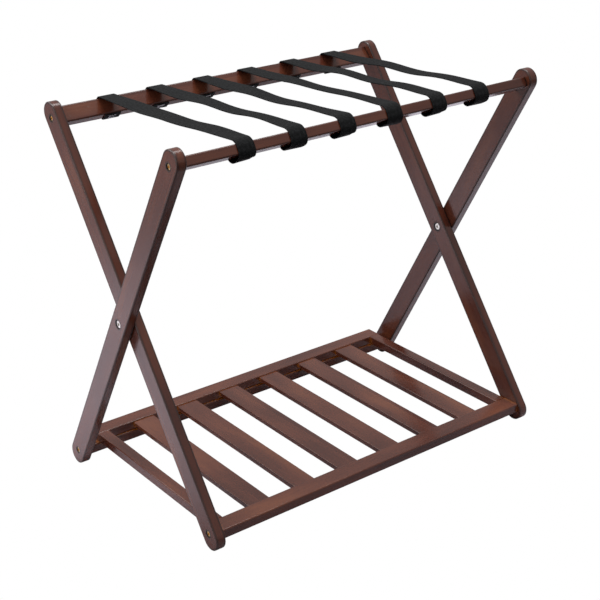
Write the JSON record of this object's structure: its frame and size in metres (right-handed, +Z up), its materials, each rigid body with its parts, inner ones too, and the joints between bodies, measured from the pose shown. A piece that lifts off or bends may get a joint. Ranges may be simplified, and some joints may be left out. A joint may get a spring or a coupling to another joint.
{
  "type": "folding luggage rack",
  "caption": "Folding wooden luggage rack: crossed leg frames joined by webbing straps that carry a suitcase, above a slatted lower shelf that lifts and folds with it.",
  "frame": {"origin": "on the floor, in the middle of the footprint", "axes": "+X along the rack's length to the right, +Y to the back, +Z up"},
  "size_m": [0.64, 0.39, 0.58],
  "materials": {
    "leg_wood": "dark walnut stain under satin-gloss varnish, grain along the leg",
    "rail_wood": "dark walnut stain under satin-gloss varnish, grain along the rail",
    "shelf_wood": "dark walnut stain under satin-gloss varnish, grain along each board",
    "webbing": "black woven webbing",
    "brass_screw": "brass-coloured screws, satin",
    "insert_metal": "plain turned brass",
    "pivot_nickel": "bright nickel plating",
    "washer_nylon": "black nylon",
    "staple_steel": "galvanised wire"
  },
  "bodies": {
    "outer_frame": {"left_outer_leg": "leg_wood", "right_outer_leg": "leg_wood", "front_top_rail": "rail_wood", "rear_foot_rail": "rail_wood", "outer_leg_screws": "brass_screw", "outer_rail_inserts": "insert_metal", "pivot_bolts": "pivot_nickel", "pivot_sleeve_nuts": "pivot_nickel", "pivot_washers": "washer_nylon", "front_strap_staples": "staple_steel", "strap_1": "webbing", "strap_2": "webbing", "strap_3": "webbing", "strap_4": "webbing", "strap_5": "webbing", "strap_6": "webbing"},
    "inner_frame": {"left_inner_leg": "leg_wood", "right_inner_leg": "leg_wood", "back_top_rail": "rail_wood", "inner_leg_screws": "brass_screw", "inner_rail_inserts": "insert_metal", "back_strap_staples": "staple_steel"},
    "shelf": {"shelf_front_rail": "shelf_wood", "shelf_back_rail": "shelf_wood", "shelf_left_end_rail": "shelf_wood", "shelf_right_end_rail": "shelf_wood", "shelf_slat_1": "shelf_wood", "shelf_slat_2": "shelf_wood", "shelf_slat_3": "shelf_wood", "shelf_slat_4": "shelf_wood", "shelf_slat_5": "shelf_wood", "shelf_slat_6": "shelf_wood", "shelf_pivot_screws": "brass_screw", "shelf_rail_inserts": "insert_metal"}
  },
  "joints": [
    {"name": "fold", "type": "hinge", "parent": "outer_frame", "child": "inner_frame", "pos_m": [0, 0, 0.29], "axis": [1, 0, 0], "range_deg": [0, 57], "deforming": ["strap_1", "strap_2", "strap_3", "strap_4", "strap_5", "strap_6"]},
    {"name": "shelf_lift", "type": "hinge", "parent": "inner_frame", "child": "shelf", "pos_m": [0, -0.17341, 0.02378], "axis": [1, 0, 0], "range_deg": [0, 54.4]}
  ]
}
